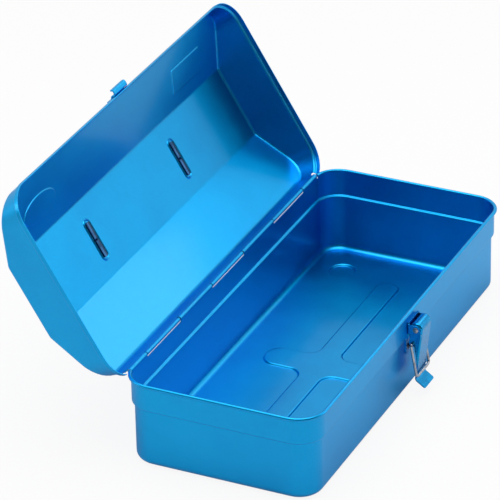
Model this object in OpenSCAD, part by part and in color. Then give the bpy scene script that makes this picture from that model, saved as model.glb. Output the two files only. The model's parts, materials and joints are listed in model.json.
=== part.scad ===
// Portable hip-roof tool box, pressed from sheet steel, shown with its lid open.
// Frame: X along the box, -Y towards the latch, +Z up. The origin lies under the middle
// of the whole open box, on the surface that it stands on. Shapes are drawn from the
// middle of the tray's feet, and in_frame() then moves them by frame_y.

/* [Body tray] */
// Length of the tray over its rim bead
body_length = 370; // [320:5:420]
// Depth of the tray over its rim bead
body_depth = 157.8; // [140:0.2:190]
// Height of the rim above the underside of the floor
body_height = 71; // [60:1:95]
// Thickness of the tray's sheet
body_sheet = 0.8; // [0.7:0.1:1.0]
// Corner radius in plan, over the rim bead
corner_radius = 23; // [18:1:30]
// How far the rolled rim bead stands out of the wall
bead_out = 2.1; // [1.8:0.1:3]
// Height of the wide upper band, from the rim to the foot of the step
band_height = 24.1; // [20:0.1:30]
// How far the step brings the wall in below the band
step_in = 2.1; // [1.8:0.1:3]
// Angle of the pressed step from the upright
step_angle = 70; // [55:5:80]
// Bend radius of the step, at mid sheet
step_bend = 1.2; // [0.9:0.1:1.4]
// Outside radius between the walls and the floor
floor_bend = 5.8; // [4:0.2:9]

/* [Floor pressing] */
// How far the round feet are pressed down below the floor
foot_drop = 1.5; // [1:0.1:3]
// Diameter of a foot where it leaves the floor
foot_d = 22; // [16:1:30]
// Distance of the feet from the ends of the tray
foot_from_end = 40; // [34:1:60]
// Distance of the feet from the front and the back of the tray
foot_from_side = 33.9; // [30:0.1:40]
// Rise of the cross-shaped stiffening panel
cross_rise = 1.4; // [0.8:0.1:2.5]
// Width of the long arm of the cross
cross_long_w = 18.5; // [14:0.5:26]
// Width of the short arm of the cross
cross_short_w = 26; // [18:1:34]
// Distance of the long arm's ends from the ends of the tray
cross_end_gap = 46; // [40:1:70]
// Distance of the short arm's ends from the front and the back
cross_side_gap = 32.9; // [28:0.1:45]
// Fillet radius where the arms of the cross meet
cross_fillet = 10; // [5:1:14]

/* [Lid] */
// Thickness of the lid's sheet
lid_sheet = 0.6; // [0.5:0.1:0.8]
// Angle that the lid stands open at
lid_open = 121.5; // [95:0.5:125]
// Height of the lid from its rim edge to its flat top
lid_height = 40.5; // [34:0.5:60]
// How far the lid's skirt reaches below the tray's rim
skirt_drop = 3.4; // [2:0.1:3.4]
// Straight height of the lid's skirt
skirt_run = 2.7; // [1.5:0.1:4]
// How far the skirt is stepped out of the lid's walls
skirt_step = 2.1; // [1.8:0.1:3]
// Gap between the rim bead and the skirt at the ends
skirt_gap_end = 0.9; // [0.5:0.1:1.5]
// Gap between the rim bead and the skirt at the front
skirt_gap_front = 3.1; // [2:0.1:4]
// Gap between the rim bead and the skirt at the back corners
skirt_gap_back = 1.1; // [0.8:0.1:1.5]
// Lean of the lid's upright walls
lid_draft = 8.7; // [4:0.1:12]
// Slope of the lid's front and back roof panels
roof_slope = 27.5; // [20:0.5:35]
// Width of the flat top panel
top_width = 61.3; // [50:0.1:80]
// Outside radius of the folds along the flat top
fold_r = 5; // [3:0.5:8]
// How deep the two panels are pressed into the front slope
pad_depth = 0.5; // [0.3:0.1:1]
// Length of each pressed panel
pad_length = 50; // [30:1:60]
// Width of each pressed panel
pad_width = 22; // [14:1:28]
// Distance of the pressed panels from the middle of the lid
pad_from_middle = 124; // [100:1:130]
// Distance of the pressed panels from the fold above them
pad_from_fold = 12; // [8:1:16]

/* [Hinge] */
// Diameter of the hinge pin
pin_d = 2.3; // [1.8:0.1:3]
// Running clearance round the hinge pin
pin_play = 0.05; // [0.03:0.01:0.1]
// Length of the hinge
hinge_length = 333; // [290:1:380]
// Length of one middle knuckle
knuckle_pitch = 56; // [44:1:60]
// End gap between neighbouring knuckles
knuckle_gap = 0.6; // [0.3:0.1:1]
// Gap between a knuckle and the sheet that is cut away for it
notch_gap = 0.7; // [0.4:0.1:1.2]
// How far round the pin each knuckle is rolled
knuckle_wrap = 275; // [240:5:290]

/* [Latch] */
// Thickness of the latch's sheet
latch_sheet = 1; // [0.8:0.1:1.2]
// Outside width over the ears of the latch's base
latch_width = 21; // [18:0.5:26]
// Diameter of the lever's pin
lever_pin_d = 3; // [2.5:0.1:3.4]
// Height of the lever's pin above the foot of the step
lever_pin_up = 9.6; // [8.6:0.1:12]
// Distance of the lever's pin from the tray's band
lever_pin_out = 6.6; // [6.4:0.1:8]
// Outside radius of the rolled top of the lever
lever_roll = 5.2; // [4.6:0.1:5.2]
// Lean of the lever's face towards the tray
lever_lean = 7; // [4:0.5:7.5]
// Length of the lever's straight face
lever_face = 42; // [38:0.5:44]
// Length of the thumb tab
tab_length = 8; // [5:0.5:10]
// Lateral play of the lever between the ears
lever_play = 0.2; // [0.1:0.05:0.3]
// Diameter of the loop's wire
wire_d = 2.2; // [1.8:0.1:2.4]
// Distance of the loop's pivot below the lever's pin
loop_down = 12.5; // [11.5:0.5:14]
// Distance of the loop's pivot behind the lever's pin
loop_back = 3; // [2.5:0.1:3.2]
// Length of the loop from its pivot to its crossbar
loop_length = 27.2; // [26:0.1:27.6]
// Gap between the loop's legs and the ears
loop_gap = 0.5; // [0.4:0.1:0.8]
// Diameter of the rivets that hold the base
rivet_d = 3.2; // [2.6:0.1:4]

/* [Keeper] */
// Thickness of the keeper's sheet
keeper_sheet = 1.2; // [1:0.1:1.4]
// Width of the keeper
keeper_width = 20; // [16:0.5:21]
// Reach of the keeper's hook from the skirt
keeper_reach = 5.5; // [5:0.1:6.5]
// Height of the keeper's upturned lip
keeper_lip = 2.6; // [2:0.1:3.5]

/* [Handle] */
// Distance between the two handle clips
handle_span = 144; // [120:2:170]
// Diameter of the handle's rod
rod_d = 6; // [5:0.2:7]
// Reach of the handle from its pivot to its grip
handle_reach = 42; // [36:1:50]
// Bend radius of the rod beside the grip, at its centre
rod_bend = 9; // [7:0.5:12]
// Bend radius of the rod beside the clips, at its centre
pivot_bend = 4; // [3.5:0.5:6]
// Height of the upset heads on the ends of the rod
head_height = 1.6; // [1:0.2:2]
// Diameter of the rolled grip
grip_d = 13; // [10:0.5:16]
// Length of the rolled grip
grip_length = 86; // [60:2:100]
// Thickness of the clips' strap
strap = 1.2; // [1:0.1:1.5]
// Width of the clips' strap
strap_w = 5.5; // [4.5:0.5:7]
// Length of each leg bent over inside the lid
clip_leg = 16; // [12:1:20]
// Running clearance of the rod in the clips' eyes
eye_play = 0.08; // [0.05:0.01:0.1]

/* [Hidden] */
$fn = 64;
paint = [0.0, 0.47, 0.80];
steel = [0.72, 0.74, 0.76];
dark_steel = [0.30, 0.31, 0.34];
// overlap that keeps a cut from ending on a face
cut = 0.1;

// tray: levels and half sizes
floor_z = foot_drop;
rim_z = floor_z + body_height;
step_z = rim_z - band_height;
half_l = body_length / 2;
half_d = body_depth / 2;
wall_l = half_l - bead_out;
wall_d = half_d - bead_out;
bead_d = bead_out + body_sheet;
low_corner = corner_radius - bead_out - step_in;
// straight part and rise of a step that moves a sheet sideways by shift
function step_straight(shift) =
    (shift - 2 * step_bend * (1 - cos(step_angle))) / sin(step_angle);
function step_rise(shift) =
    2 * step_bend * sin(step_angle) + step_straight(shift) * cos(step_angle);

// hinge: the pin lies against the outside of the tray's back wall
bore_r = pin_d / 2 + pin_play;
body_knuckle_r = bore_r + body_sheet;
lid_knuckle_r = bore_r + lid_sheet;
axis_y = wall_d + bore_r;
axis_z = rim_z - body_knuckle_r;
hinge_half = hinge_length / 2;
knuckle_ends = concat([-hinge_half], [for (i = [-5:2:5]) i * knuckle_pitch / 2], [hinge_half]);
notch_z = axis_z - lid_knuckle_r - notch_gap;
// the skirt and the tray's bead stop this far past the hinge's ends
skirt_end = hinge_half + 6.3;

// lid, closed: levels and half sizes
lid_rim_z = rim_z - skirt_drop;
lid_top_z = lid_rim_z + lid_height;
wall_z = lid_rim_z + skirt_run + step_rise(skirt_step);
// above this level the back wall runs on from corner to corner; below it is the hinge leaf
leaf_z = wall_z + 1;
skirt_l = half_l + skirt_gap_end + lid_sheet;
skirt_f = half_d + skirt_gap_front + lid_sheet;
skirt_b = half_d + skirt_gap_back + lid_sheet;
lid_l = skirt_l - skirt_step;
lid_f = skirt_f - skirt_step;
lid_b = skirt_b - skirt_step;
lid_corner = corner_radius + skirt_gap_back + lid_sheet - skirt_step - 0.6;
lid_mid = (lid_b - lid_f) / 2;
lean = tan(lid_draft);

// latch, in the plane across the box: p outwards from the band, z up
band_y = -wall_d;
lever_pin_z = step_z + lever_pin_up;
loop_z = lever_pin_z - loop_down;
loop_p = lever_pin_out - loop_back;
ear_r = lever_pin_d / 2 + 2.2;
// the lever's strip starts lever_wrap round its pin from the front and ends in the thumb tab
lever_wrap = 140;
tab_turn = 62;
lever_mid_r = lever_roll - latch_sheet / 2;
// the cheeks run down five sevenths of the face
cheek_run = 5 * lever_face / 7;
lever_bends = [
    [0, -lever_wrap - lever_lean, lever_mid_r], [lever_face, tab_turn, 3], [tab_length, 0, 0]
];
lever_w = latch_width - 2 * latch_sheet - 2 * lever_play;
pin_hole_r = lever_pin_d / 2 + pin_play;
wire_hole_r = wire_d / 2 + pin_play;
leg_x = latch_width / 2 + loop_gap + wire_d / 2;
base_top = lever_pin_z + ear_r + 1.5;
base_foot = step_z - 14;
rivet_z = step_z - 8;
rivet_x = 5;
// the loop hangs on the lever's face: its crossbar stays rest_gap in front of the sheet
rest_gap = 0.3;
loop_reach = lever_roll + wire_d / 2 + rest_gap + loop_back * cos(lever_lean) - loop_down * sin(lever_lean);
loop_hang = asin(loop_reach / loop_length) - lever_lean;

// handle
eye_r = rod_d / 2 + eye_play;
eye_up = eye_r + strap + 0.4;
rod_z = lid_top_z + eye_up;
// the handle hangs straight down from the open lid
handle_hang = lid_open - 90;
leg_at = handle_span / 2 - strap_w / 2 - rod_d / 2 - 0.6;

// frame: midway between the thumb tab in front and the open lid's front eaves at the back
lever_start = lever_mid_r * [cos(lever_wrap), sin(lever_wrap)];
lever_path = bent_path(lever_bends, 0, lever_start, lever_wrap - 90);
tab_end = lever_path[len(lever_path) - 1];
front_reach = lever_pin_out + tab_end[0] - latch_sheet / 2 * sin(tab_end[2]) - band_y;
eaves_drop = tan(roof_slope);
eaves_low = eaves_drop * (lid_f + lid_mid - top_width / 2 + lean * wall_z);
eaves_z = (lid_top_z - eaves_low) / (1 - eaves_drop * lean);
eaves_y = lean * (eaves_z - wall_z) - lid_f;
back_reach = axis_y + (eaves_y - axis_y) * cos(lid_open) + (eaves_z - axis_z) * sin(lid_open);
frame_y = round(50 * (back_reach - front_reach)) / 100;

// ---------- shared shapes ----------

// wedge from angle a to angle b that covers a circle of radius r
module wedge(r, a, b) {
    n = ceil((b - a) / 40);
    rim = [for (i = [0:n]) let (at = a + (b - a) * i / n) 1.3 * r * [cos(at), sin(at)]];
    polygon(concat([[0, 0]], rim));
}

// band of a circle between angles a and b
module arc_band(r_in, r_out, a, b) {
    intersection() {
        difference() {
            circle(r_out);
            circle(r_in);
        }
        wedge(r_out, a, b);
    }
}

// centre line of a bent sheet as [x, y, heading]; each step is [straight length, turn, bend radius]
function bent_path(steps, i = 0, p = [0, 0], a = 0) =
    i == len(steps) ? [[p.x, p.y, a]] :
    let (turn = steps[i][1], side = sign(turn) * steps[i][2], n = ceil(abs(turn) / 12))
    let (mid = p + steps[i][0] * [cos(a), sin(a)] + side * [-sin(a), cos(a)])
    concat(
        steps[i][0] > 0 ? [[p.x, p.y, a]] : [],
        [for (k = [0:1:n - 1]) let (b = a + turn * k / n) [mid.x + side * sin(b), mid.y - side * cos(b), b]],
        bent_path(steps, i + 1, mid + side * [sin(a + turn), -cos(a + turn)], a + turn)
    );

// bent sheet seen on edge, with its thickness laid half to each side of the centre line
module bent_sheet(t, steps) {
    path = bent_path(steps);
    last = len(path) - 1;
    function side(k, h) = [path[k][0] - h * sin(path[k][2]), path[k][1] + h * cos(path[k][2])];
    polygon([for (k = [0:2 * last + 1]) k > last ? side(2 * last + 1 - k, t / 2) : side(k, -t / 2)]);
}

// sweeps a wall profile round a rounded rectangle; the profile's x runs out from a corner's centre
module round_walls(x_half, y_low, y_high, r) {
    for (end = [0, 1]) {
        out_x = x_half - r;
        rotate([0, 0, 180 * end]) {
            y_a = end == 0 ? y_low + r : -(y_high - r);
            y_b = end == 0 ? y_high - r : -(y_low + r);
            translate([out_x, y_b, 0]) rotate([90, 0, 0]) linear_extrude(y_b - y_a) children();
            translate([out_x, y_b, 0]) rotate_extrude(angle = 90) children();
            translate([out_x, y_a, 0]) rotate([0, 0, -90]) rotate_extrude(angle = 90) children();
            translate([-out_x, y_b, 0]) rotate([90, 0, 90]) linear_extrude(2 * out_x) children();
        }
    }
}

// moves a shape drawn from the middle of the tray's feet into the part's own frame
module in_frame() {
    translate([0, -frame_y, 0]) children();
}

// ---------- tray ----------

// wall of the tray from floor to rolled rim
module tray_wall_profile() {
    angle = step_angle;
    translate([0, floor_z + body_sheet / 2]) bent_sheet(body_sheet, [
        [low_corner - floor_bend, 90, floor_bend - body_sheet / 2],
        [step_z - floor_z - floor_bend, -angle, step_bend],
        [step_straight(step_in), angle, step_bend],
        [rim_z - bead_d / 2 - step_z - step_rise(step_in), 0, 0]
    ]);
    translate([corner_radius - bead_d / 2, rim_z - bead_d / 2]) circle(bead_d / 2);
}

// outline of the stiffening cross; grow makes it larger all round
module cross_outline(grow) {
    long_w = cross_long_w + 2 * grow;
    short_w = cross_short_w + 2 * grow;
    long_half = half_l - cross_end_gap + grow;
    short_half = half_d - cross_side_gap + grow;
    end_r = short_w / 2 - 2;
    fillet = cross_fillet - grow;
    square([2 * (long_half - long_w / 2), long_w], center = true);
    square([short_w, 2 * (short_half - end_r)], center = true);
    square([short_w - 2 * end_r, 2 * short_half], center = true);
    for (s = [-1, 1]) {
        translate([s * (long_half - long_w / 2), 0]) circle(long_w / 2);
        for (q = [-1, 1]) {
            translate([q * (short_w / 2 - end_r), s * (short_half - end_r)]) circle(end_r);
            translate([q * short_w / 2, s * long_w / 2]) difference() {
                translate([q * fillet / 2, s * fillet / 2]) square(fillet, center = true);
                translate([q * fillet, s * fillet]) circle(fillet);
            }
        }
    }
}

// wall that rises to the hinge and rolls round its pin
module body_knuckle_profile() {
    translate([wall_d - body_sheet, notch_z]) square([body_sheet, axis_z - notch_z]);
    translate([axis_y, axis_z]) arc_band(bore_r, body_knuckle_r, 180 - knuckle_wrap, 180);
}

module at_feet() {
    for (x = [-1, 1], y = [-1, 1])
        translate([x * (half_l - foot_from_end), y * (half_d - foot_from_side), 0]) children();
}

module body_shell() {
    foot_low_r = foot_d / 2 - foot_drop;
    color(paint) in_frame() difference() {
        union() {
            round_walls(half_l, -half_d, half_d, corner_radius) tray_wall_profile();
            translate([corner_radius - half_l, corner_radius - half_d, floor_z])
                cube([2 * (half_l - corner_radius), 2 * (half_d - corner_radius), body_sheet]);
            translate([0, 0, floor_z + body_sheet]) linear_extrude(cross_rise) cross_outline(0);
            at_feet() cylinder(h = floor_z, r1 = foot_low_r, r2 = foot_d / 2);
            for (i = [0:2:6]) {
                a = knuckle_ends[i] + (i == 0 ? 0 : knuckle_gap / 2);
                b = knuckle_ends[i + 1] - (i == 6 ? 0 : knuckle_gap / 2);
                translate([a, 0, 0]) rotate([90, 0, 90]) linear_extrude(b - a) body_knuckle_profile();
            }
        }
        // under the cross and inside the feet the sheet is hollow
        translate([0, 0, floor_z - cut]) linear_extrude(cross_rise + cut) cross_outline(-body_sheet);
        at_feet() translate([0, 0, body_sheet])
            cylinder(h = floor_z + cut, r1 = foot_low_r - body_sheet, r2 = foot_d / 2 - body_sheet + cut);
        // the back rim is cut away for the lid's knuckles, and the bead along the whole hinge
        for (i = [1:2:5])
            translate([knuckle_ends[i] - knuckle_gap / 2, wall_d - body_sheet - cut, notch_z]) cube([
                knuckle_ends[i + 1] - knuckle_ends[i] + knuckle_gap, bead_out + body_sheet + 2 * cut, rim_z
            ]);
        for (i = [0:2:6]) hinge_bead_cut(i);
        for (x = [-1, 1]) translate([x * rivet_x, band_y, rivet_z])
            rotate([90, 0, 0]) cylinder(h = 4 * step_in, r = rivet_d / 2 + pin_play, center = true);
    }
}

// room for body knuckle i: the bead is left out where the sheet is rolled round the pin
module hinge_bead_cut(i) {
    a = knuckle_ends[i];
    b = knuckle_ends[i + 1];
    translate([a, 0, 0]) rotate([90, 0, 90]) linear_extrude(b - a) difference() {
        translate([wall_d - 2 * body_sheet, notch_z])
            square([bead_out + 2 * body_sheet + cut, rim_z - notch_z + cut]);
        body_knuckle_profile();
    }
}

module hinge_pin() {
    color(steel) in_frame() translate([-hinge_half, axis_y, axis_z]) rotate([0, 90, 0])
        cylinder(h = hinge_length, r = pin_d / 2);
}

// ---------- lid, drawn closed and then swung open ----------

module swing_open() {
    translate([0, axis_y, axis_z]) rotate([-lid_open, 0, 0]) translate([0, -axis_y, -axis_z]) children();
}

// solid block with leaning walls and rounded corners, taken in by t on every side
module lid_block(t) {
    high = lid_top_z + cut;
    r = lid_corner - t;
    in = (high - wall_z) * lean;
    round_walls(lid_l - t, t - lid_f, lid_b - t, r)
        polygon([[0, wall_z], [r, wall_z], [r - in, high], [0, high]]);
    translate([r - lid_l + t, r - lid_f + t, wall_z])
        cube([2 * (lid_l - t - r), lid_f + lid_b - 2 * t - 2 * r, high - wall_z]);
}

// roof line of the lid across the box, taken in by t
module roof_profile(t) {
    half = top_width / 2;
    low = lid_rim_z - 2;
    far = 2 * half_d;
    drop = t / cos(roof_slope) + (far - half) * tan(roof_slope);
    mid_y = half - fold_r * tan(roof_slope / 2);
    centre = [mid_y, lid_top_z - fold_r];
    fold = [for (k = [0:3]) let (a = 90 - roof_slope * k / 3) centre + (fold_r - t) * [cos(a), sin(a)]];
    right = concat(fold, [[far, lid_top_z - drop], [far, low]]);
    polygon(concat(
        [for (q = right) [lid_mid - q.x, q.y]],
        [for (k = [len(right) - 1:-1:0]) [lid_mid + right[k].x, right[k].y]]
    ));
}

module roof_prism(t) {
    translate([-half_l - 20, 0, 0]) rotate([90, 0, 90]) linear_extrude(2 * half_l + 40) roof_profile(t);
}

// stepped skirt that laps over the tray's rim, with the leaning wall above it
module lid_wall_profile() {
    translate([lid_corner + skirt_step - lid_sheet / 2, lid_rim_z]) rotate(90) bent_sheet(lid_sheet, [
        [skirt_run, step_angle, step_bend],
        [step_straight(skirt_step), lid_draft - step_angle, step_bend],
        [lid_height, 0, 0]
    ]);
}

// the lid's back wall steps in to the hinge and rolls under the pin
module lid_leaf_profile(rolled) {
    r = 0.6;
    angle = 60;
    neck = 0.5;
    top = leaf_z + 0.6;
    low = rolled ? axis_z : axis_z + body_knuckle_r + notch_gap - 0.2;
    // the leaf starts just inside the middle of the leaning wall
    start = lid_b - lid_sheet / 2 - (top - wall_z) * lean - 0.06;
    shift = start - (wall_d - lid_sheet / 2) + neck * sin(lid_draft);
    straight = (shift - r * (cos(lid_draft) + 1 - 2 * cos(angle))) / sin(angle);
    drop = neck * cos(lid_draft) + r * (2 * sin(angle) + sin(lid_draft)) + straight * cos(angle);
    translate([start, top]) rotate(lid_draft - 90) bent_sheet(lid_sheet, [
        [neck, -lid_draft - angle, r],
        [straight, angle, r],
        [max(0.1, top - drop - low), 0, 0]
    ]);
    if (rolled) translate([axis_y, axis_z]) arc_band(bore_r, lid_knuckle_r, 180, 180 + knuckle_wrap);
}

// coordinates of the front roof slope: x along the lid, y up the slope from the fold, z out of it
module on_front_slope() {
    translate([0, lid_mid - top_width / 2, lid_top_z]) rotate([roof_slope, 0, 0]) children();
}

// one plain rectangular and one plain oval panel, pressed into the front slope
module slope_panels(grow, low, high) {
    middle = -pad_width / 2 - pad_from_fold;
    on_front_slope() {
        translate([pad_from_middle, middle, low]) linear_extrude(high - low)
            square([pad_length + 2 * grow, pad_width + 2 * grow], center = true);
        translate([-pad_from_middle, middle, low]) linear_extrude(high - low)
            oval(pad_length / 2 + grow, pad_width / 2 + grow);
    }
}

// oval of two large and two small arcs
module oval(a, b) {
    small = 0.62 * b;
    reach = a - small;
    large = (reach * reach + b * b - small * small) / (2 * (b - small));
    intersection() {
        translate([0, large - b]) circle(large, $fn = 128);
        translate([0, b - large]) circle(large, $fn = 128);
        square([2 * reach, 2 * b], center = true);
    }
    for (s = [-1, 1]) translate([s * reach, 0]) circle(small);
}

module lid_shell() {
    color(paint) in_frame() swing_open() difference() {
        union() {
            difference() {
                intersection() {
                    round_walls(skirt_l, -skirt_f, skirt_b, lid_corner + skirt_step) lid_wall_profile();
                    roof_prism(0);
                }
                translate([-skirt_end, 0, lid_rim_z - cut])
                    cube([2 * skirt_end, skirt_b + 1, leaf_z - lid_rim_z + cut]);
            }
            difference() {
                union() {
                    difference() {
                        intersection() {
                            lid_block(lid_sheet / 2);
                            roof_prism(0);
                        }
                        roof_prism(lid_sheet);
                    }
                    slope_panels(lid_sheet, -lid_sheet - pad_depth, -lid_sheet / 2);
                }
                slope_panels(0, -pad_depth, 1);
            }
            translate([-hinge_half, 0, 0]) rotate([90, 0, 90])
                linear_extrude(hinge_length) lid_leaf_profile(false);
            for (i = [1:2:5]) {
                a = knuckle_ends[i] + knuckle_gap / 2;
                b = knuckle_ends[i + 1] - knuckle_gap / 2;
                translate([a, 0, 0]) rotate([90, 0, 90]) linear_extrude(b - a) lid_leaf_profile(true);
            }
        }
        for (s = [-1, 1]) translate([s * handle_span / 2, 0, lid_top_z])
            cube([strap_w + 0.6, 2 * strap + 0.4, 4], center = true);
    }
}

module keeper() {
    incline = lid_draft;
    top = wall_z + 8;
    offset_y = keeper_sheet / 2 / cos(incline) + 0.02;
    out = lid_f - lean * (top - wall_z);
    outward = 55;
    bend = 1;
    hook_bend = 1.2;
    color(paint) in_frame() swing_open() translate([-keeper_width / 2, -out - offset_y, top])
        rotate([90, 0, 90]) linear_extrude(keeper_width) rotate(-90 - incline) bent_sheet(keeper_sheet, [
            [5.2, incline - outward, bend],
            [2.1, outward, bend],
            [2, -90, hook_bend],
            [keeper_reach - 3 * hook_bend, -90, hook_bend],
            [keeper_lip - 1, 0, 0]
        ]);
}

// ---------- latch, on the front of the tray ----------

// turns a shape drawn with x outwards from the band and y up into a plate across the box
module across(w, middle = 0) {
    translate([middle - w / 2, band_y, 0]) rotate([90, 0, 90]) mirror([1, 0]) linear_extrude(w) children();
}

module latch_base() {
    bend_a = step_bend + body_sheet / 2 + latch_sheet / 2;
    bend_b = step_bend;
    angle = 60;
    straight = (step_in - (bend_a + bend_b) * (1 - cos(angle))) / sin(angle);
    rise = (bend_a + bend_b) * sin(angle) + straight * cos(angle);
    turn_z = step_z + step_rise(step_in);
    color(paint) in_frame() difference() {
        union() {
            across(latch_width) translate([latch_sheet / 2, base_top]) rotate(-90) bent_sheet(latch_sheet, [
                [base_top - turn_z, -angle, bend_a],
                [straight, angle, bend_b],
                [turn_z - rise - base_foot, 0, 0]
            ]);
            for (s = [-1, 1]) across(latch_sheet, s * (latch_width - latch_sheet) / 2) {
                translate([lever_pin_out, lever_pin_z]) circle(ear_r);
                translate([latch_sheet / 2, lever_pin_z - ear_r])
                    square([lever_pin_out - latch_sheet / 2, 2 * ear_r]);
            }
        }
        translate([0, band_y - lever_pin_out, lever_pin_z]) rotate([0, 90, 0])
            cylinder(h = 2 * latch_width, r = pin_hole_r, center = true);
        for (x = [-1, 1]) translate([x * rivet_x, band_y, rivet_z])
            rotate([90, 0, 0]) cylinder(h = 4 * step_in, r = rivet_d / 2 + pin_play, center = true);
    }
}

// round head of a rivet, its flat side down
module rivet_head(r, h) {
    ball = (r * r + h * h) / (2 * h);
    intersection() {
        translate([0, 0, h - ball]) sphere(ball);
        cylinder(h = h, r = r);
    }
}

module latch_rivets() {
    front = step_in - latch_sheet;
    stack = latch_sheet + body_sheet;
    color(steel) in_frame() for (x = [-1, 1])
        translate([x * rivet_x, band_y + front, rivet_z]) rotate([90, 0, 0]) {
        translate([0, 0, -stack]) cylinder(h = stack, r = rivet_d / 2);
        rivet_head(0.9 * rivet_d, 0.32 * rivet_d);
        translate([0, 0, -stack]) mirror([0, 0, 1]) rivet_head(0.9 * rivet_d, 0.25 * rivet_d);
    }
}

module lever_pin() {
    head = 0.25 * lever_pin_d;
    color(steel) in_frame() translate([0, band_y - lever_pin_out, lever_pin_z]) rotate([0, 90, 0]) {
        cylinder(h = latch_width, r = lever_pin_d / 2, center = true);
        for (s = [0, 1]) mirror([0, 0, s]) translate([0, 0, latch_width / 2])
            rivet_head(0.8 * lever_pin_d, head);
    }
}

// side of the lever: from the rolled top down to the loop's pivot
module lever_side() {
    r = lever_mid_r;
    low_r = wire_d / 2 + 1.6;
    face = [lever_pin_out, lever_pin_z] + (r - 0.1) * [cos(lever_lean), -sin(lever_lean)];
    down = [-sin(lever_lean), -cos(lever_lean)];
    translate([lever_pin_out, lever_pin_z]) circle(r);
    translate([loop_p, loop_z]) circle(low_r);
    polygon([
        [lever_pin_out - r + 0.1, lever_pin_z], face, face + cheek_run * down,
        [loop_p + 1, loop_z - low_r + 0.3], [loop_p - low_r + 0.1, loop_z]
    ]);
}

module latch_lever() {
    color(paint) in_frame() difference() {
        union() {
            // rolled top, leaning face and thumb tab, bent from one strip
            across(lever_w) translate([lever_pin_out, lever_pin_z]) rotate(lever_wrap)
                translate([lever_mid_r, 0]) rotate(-90) bent_sheet(latch_sheet, lever_bends);
            for (s = [-1, 1]) across(latch_sheet, s * (lever_w - latch_sheet) / 2) lever_side();
        }
        translate([0, band_y - lever_pin_out, lever_pin_z]) rotate([0, 90, 0])
            cylinder(h = 2 * latch_width, r = pin_hole_r, center = true);
        translate([0, band_y - loop_p, loop_z]) rotate([0, 90, 0])
            cylinder(h = 2 * latch_width, r = wire_hole_r, center = true);
    }
}

// wire loop in its own plane: pivot along x at the origin, crossbar at -y
module wire_loop() {
    r = wire_d / 2;
    end_bend = 1.6;
    bar_bend = 3;
    in = lever_w / 2 - latch_sheet - 1.2;
    for (s = [0, 1]) mirror([s, 0, 0]) {
        translate([in, 0, 0]) rotate([0, 90, 0]) cylinder(h = leg_x - end_bend - in, r = r);
        translate([leg_x - end_bend, -end_bend, 0])
            rotate_extrude(angle = 90) translate([end_bend, 0]) circle(r);
        translate([leg_x, -end_bend, 0]) rotate([90, 0, 0])
            cylinder(h = loop_length - end_bend - bar_bend, r = r);
        translate([leg_x - bar_bend, bar_bend - loop_length, 0]) rotate([0, 0, -90])
            rotate_extrude(angle = 90) translate([bar_bend, 0]) circle(r);
    }
    translate([0, -loop_length, 0]) rotate([0, 90, 0])
        cylinder(h = 2 * (leg_x - bar_bend), r = r, center = true);
}

module latch_loop() {
    color(steel) in_frame() translate([0, band_y - loop_p, loop_z])
        rotate([90 - loop_hang, 0, 0]) wire_loop();
}

// ---------- handle, on the top of the lid ----------

// strap wound round the rod, its legs through a slot and bent apart inside the lid
module handle_clip(side) {
    inside = -eye_up - lid_sheet;
    // each leg turns outwards on a bend of this outside radius
    bend = strap + 0.2;
    leg = concat(
        [[strap, -eye_r - strap / 2], [strap, inside], [clip_leg, inside], [clip_leg, inside - strap]],
        [for (a = [270:-22.5:180]) [bend, inside - strap + bend] + bend * [cos(a), sin(a)]]
    );
    color(dark_steel) in_frame() swing_open() translate([side * handle_span / 2 - strap_w / 2, 0, rod_z])
        rotate([90, 0, 90]) linear_extrude(strap_w) {
            difference() {
                circle(eye_r + strap);
                circle(eye_r);
            }
            polygon(concat([for (q = leg) [-q.x, q.y]], [for (k = [len(leg) - 2:-1:0]) leg[k]]));
        }
}

module handle_clip_left() {
    handle_clip(-1);
}

module handle_clip_right() {
    handle_clip(1);
}

// places the handle on its pivot, hanging straight down
module hang_handle() {
    swing_open() translate([0, 0, rod_z]) rotate([handle_hang, 0, 0]) children();
}

module handle_bail() {
    r = rod_d / 2;
    tail = handle_span / 2 + strap_w / 2 + 1.2;
    turn = leg_at + pivot_bend;
    color(steel) in_frame() hang_handle() for (s = [0, 1]) mirror([s, 0, 0]) {
        // pivot end with its upset head, bend, leg, bend and half of the grip bar
        translate([turn, 0, 0]) rotate([0, 90, 0]) cylinder(h = tail - turn, r = r);
        translate([tail, 0, 0]) rotate([0, 90, 0]) cylinder(h = head_height, r = r + head_height / 2);
        translate([turn, pivot_bend, 0]) rotate([0, 0, 180])
            rotate_extrude(angle = 90) translate([pivot_bend, 0]) circle(r);
        translate([leg_at, pivot_bend, 0]) rotate([-90, 0, 0])
            cylinder(h = handle_reach - pivot_bend - rod_bend, r = r);
        translate([leg_at - rod_bend, handle_reach - rod_bend, 0])
            rotate_extrude(angle = 90) translate([rod_bend, 0]) circle(r);
        translate([0, handle_reach, 0]) rotate([0, 90, 0]) cylinder(h = leg_at - rod_bend, r = r);
    }
}

module handle_grip() {
    wall = 1;
    color(paint) in_frame() hang_handle() translate([0, handle_reach, 0]) rotate([0, 90, 0]) difference() {
        cylinder(h = grip_length, r = grip_d / 2, center = true);
        cylinder(h = grip_length - 2 * wall, r = grip_d / 2 - wall, center = true);
        cylinder(h = grip_length + 2, r = rod_d / 2 + 0.05, center = true);
    }
}

body_shell();
hinge_pin();
latch_base();
latch_rivets();
lever_pin();
latch_lever();
latch_loop();
lid_shell();
keeper();
handle_clip_left();
handle_clip_right();
handle_bail();
handle_grip();
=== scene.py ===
import json
import math

import bmesh
import bpy
from mathutils import Matrix, Vector


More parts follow.
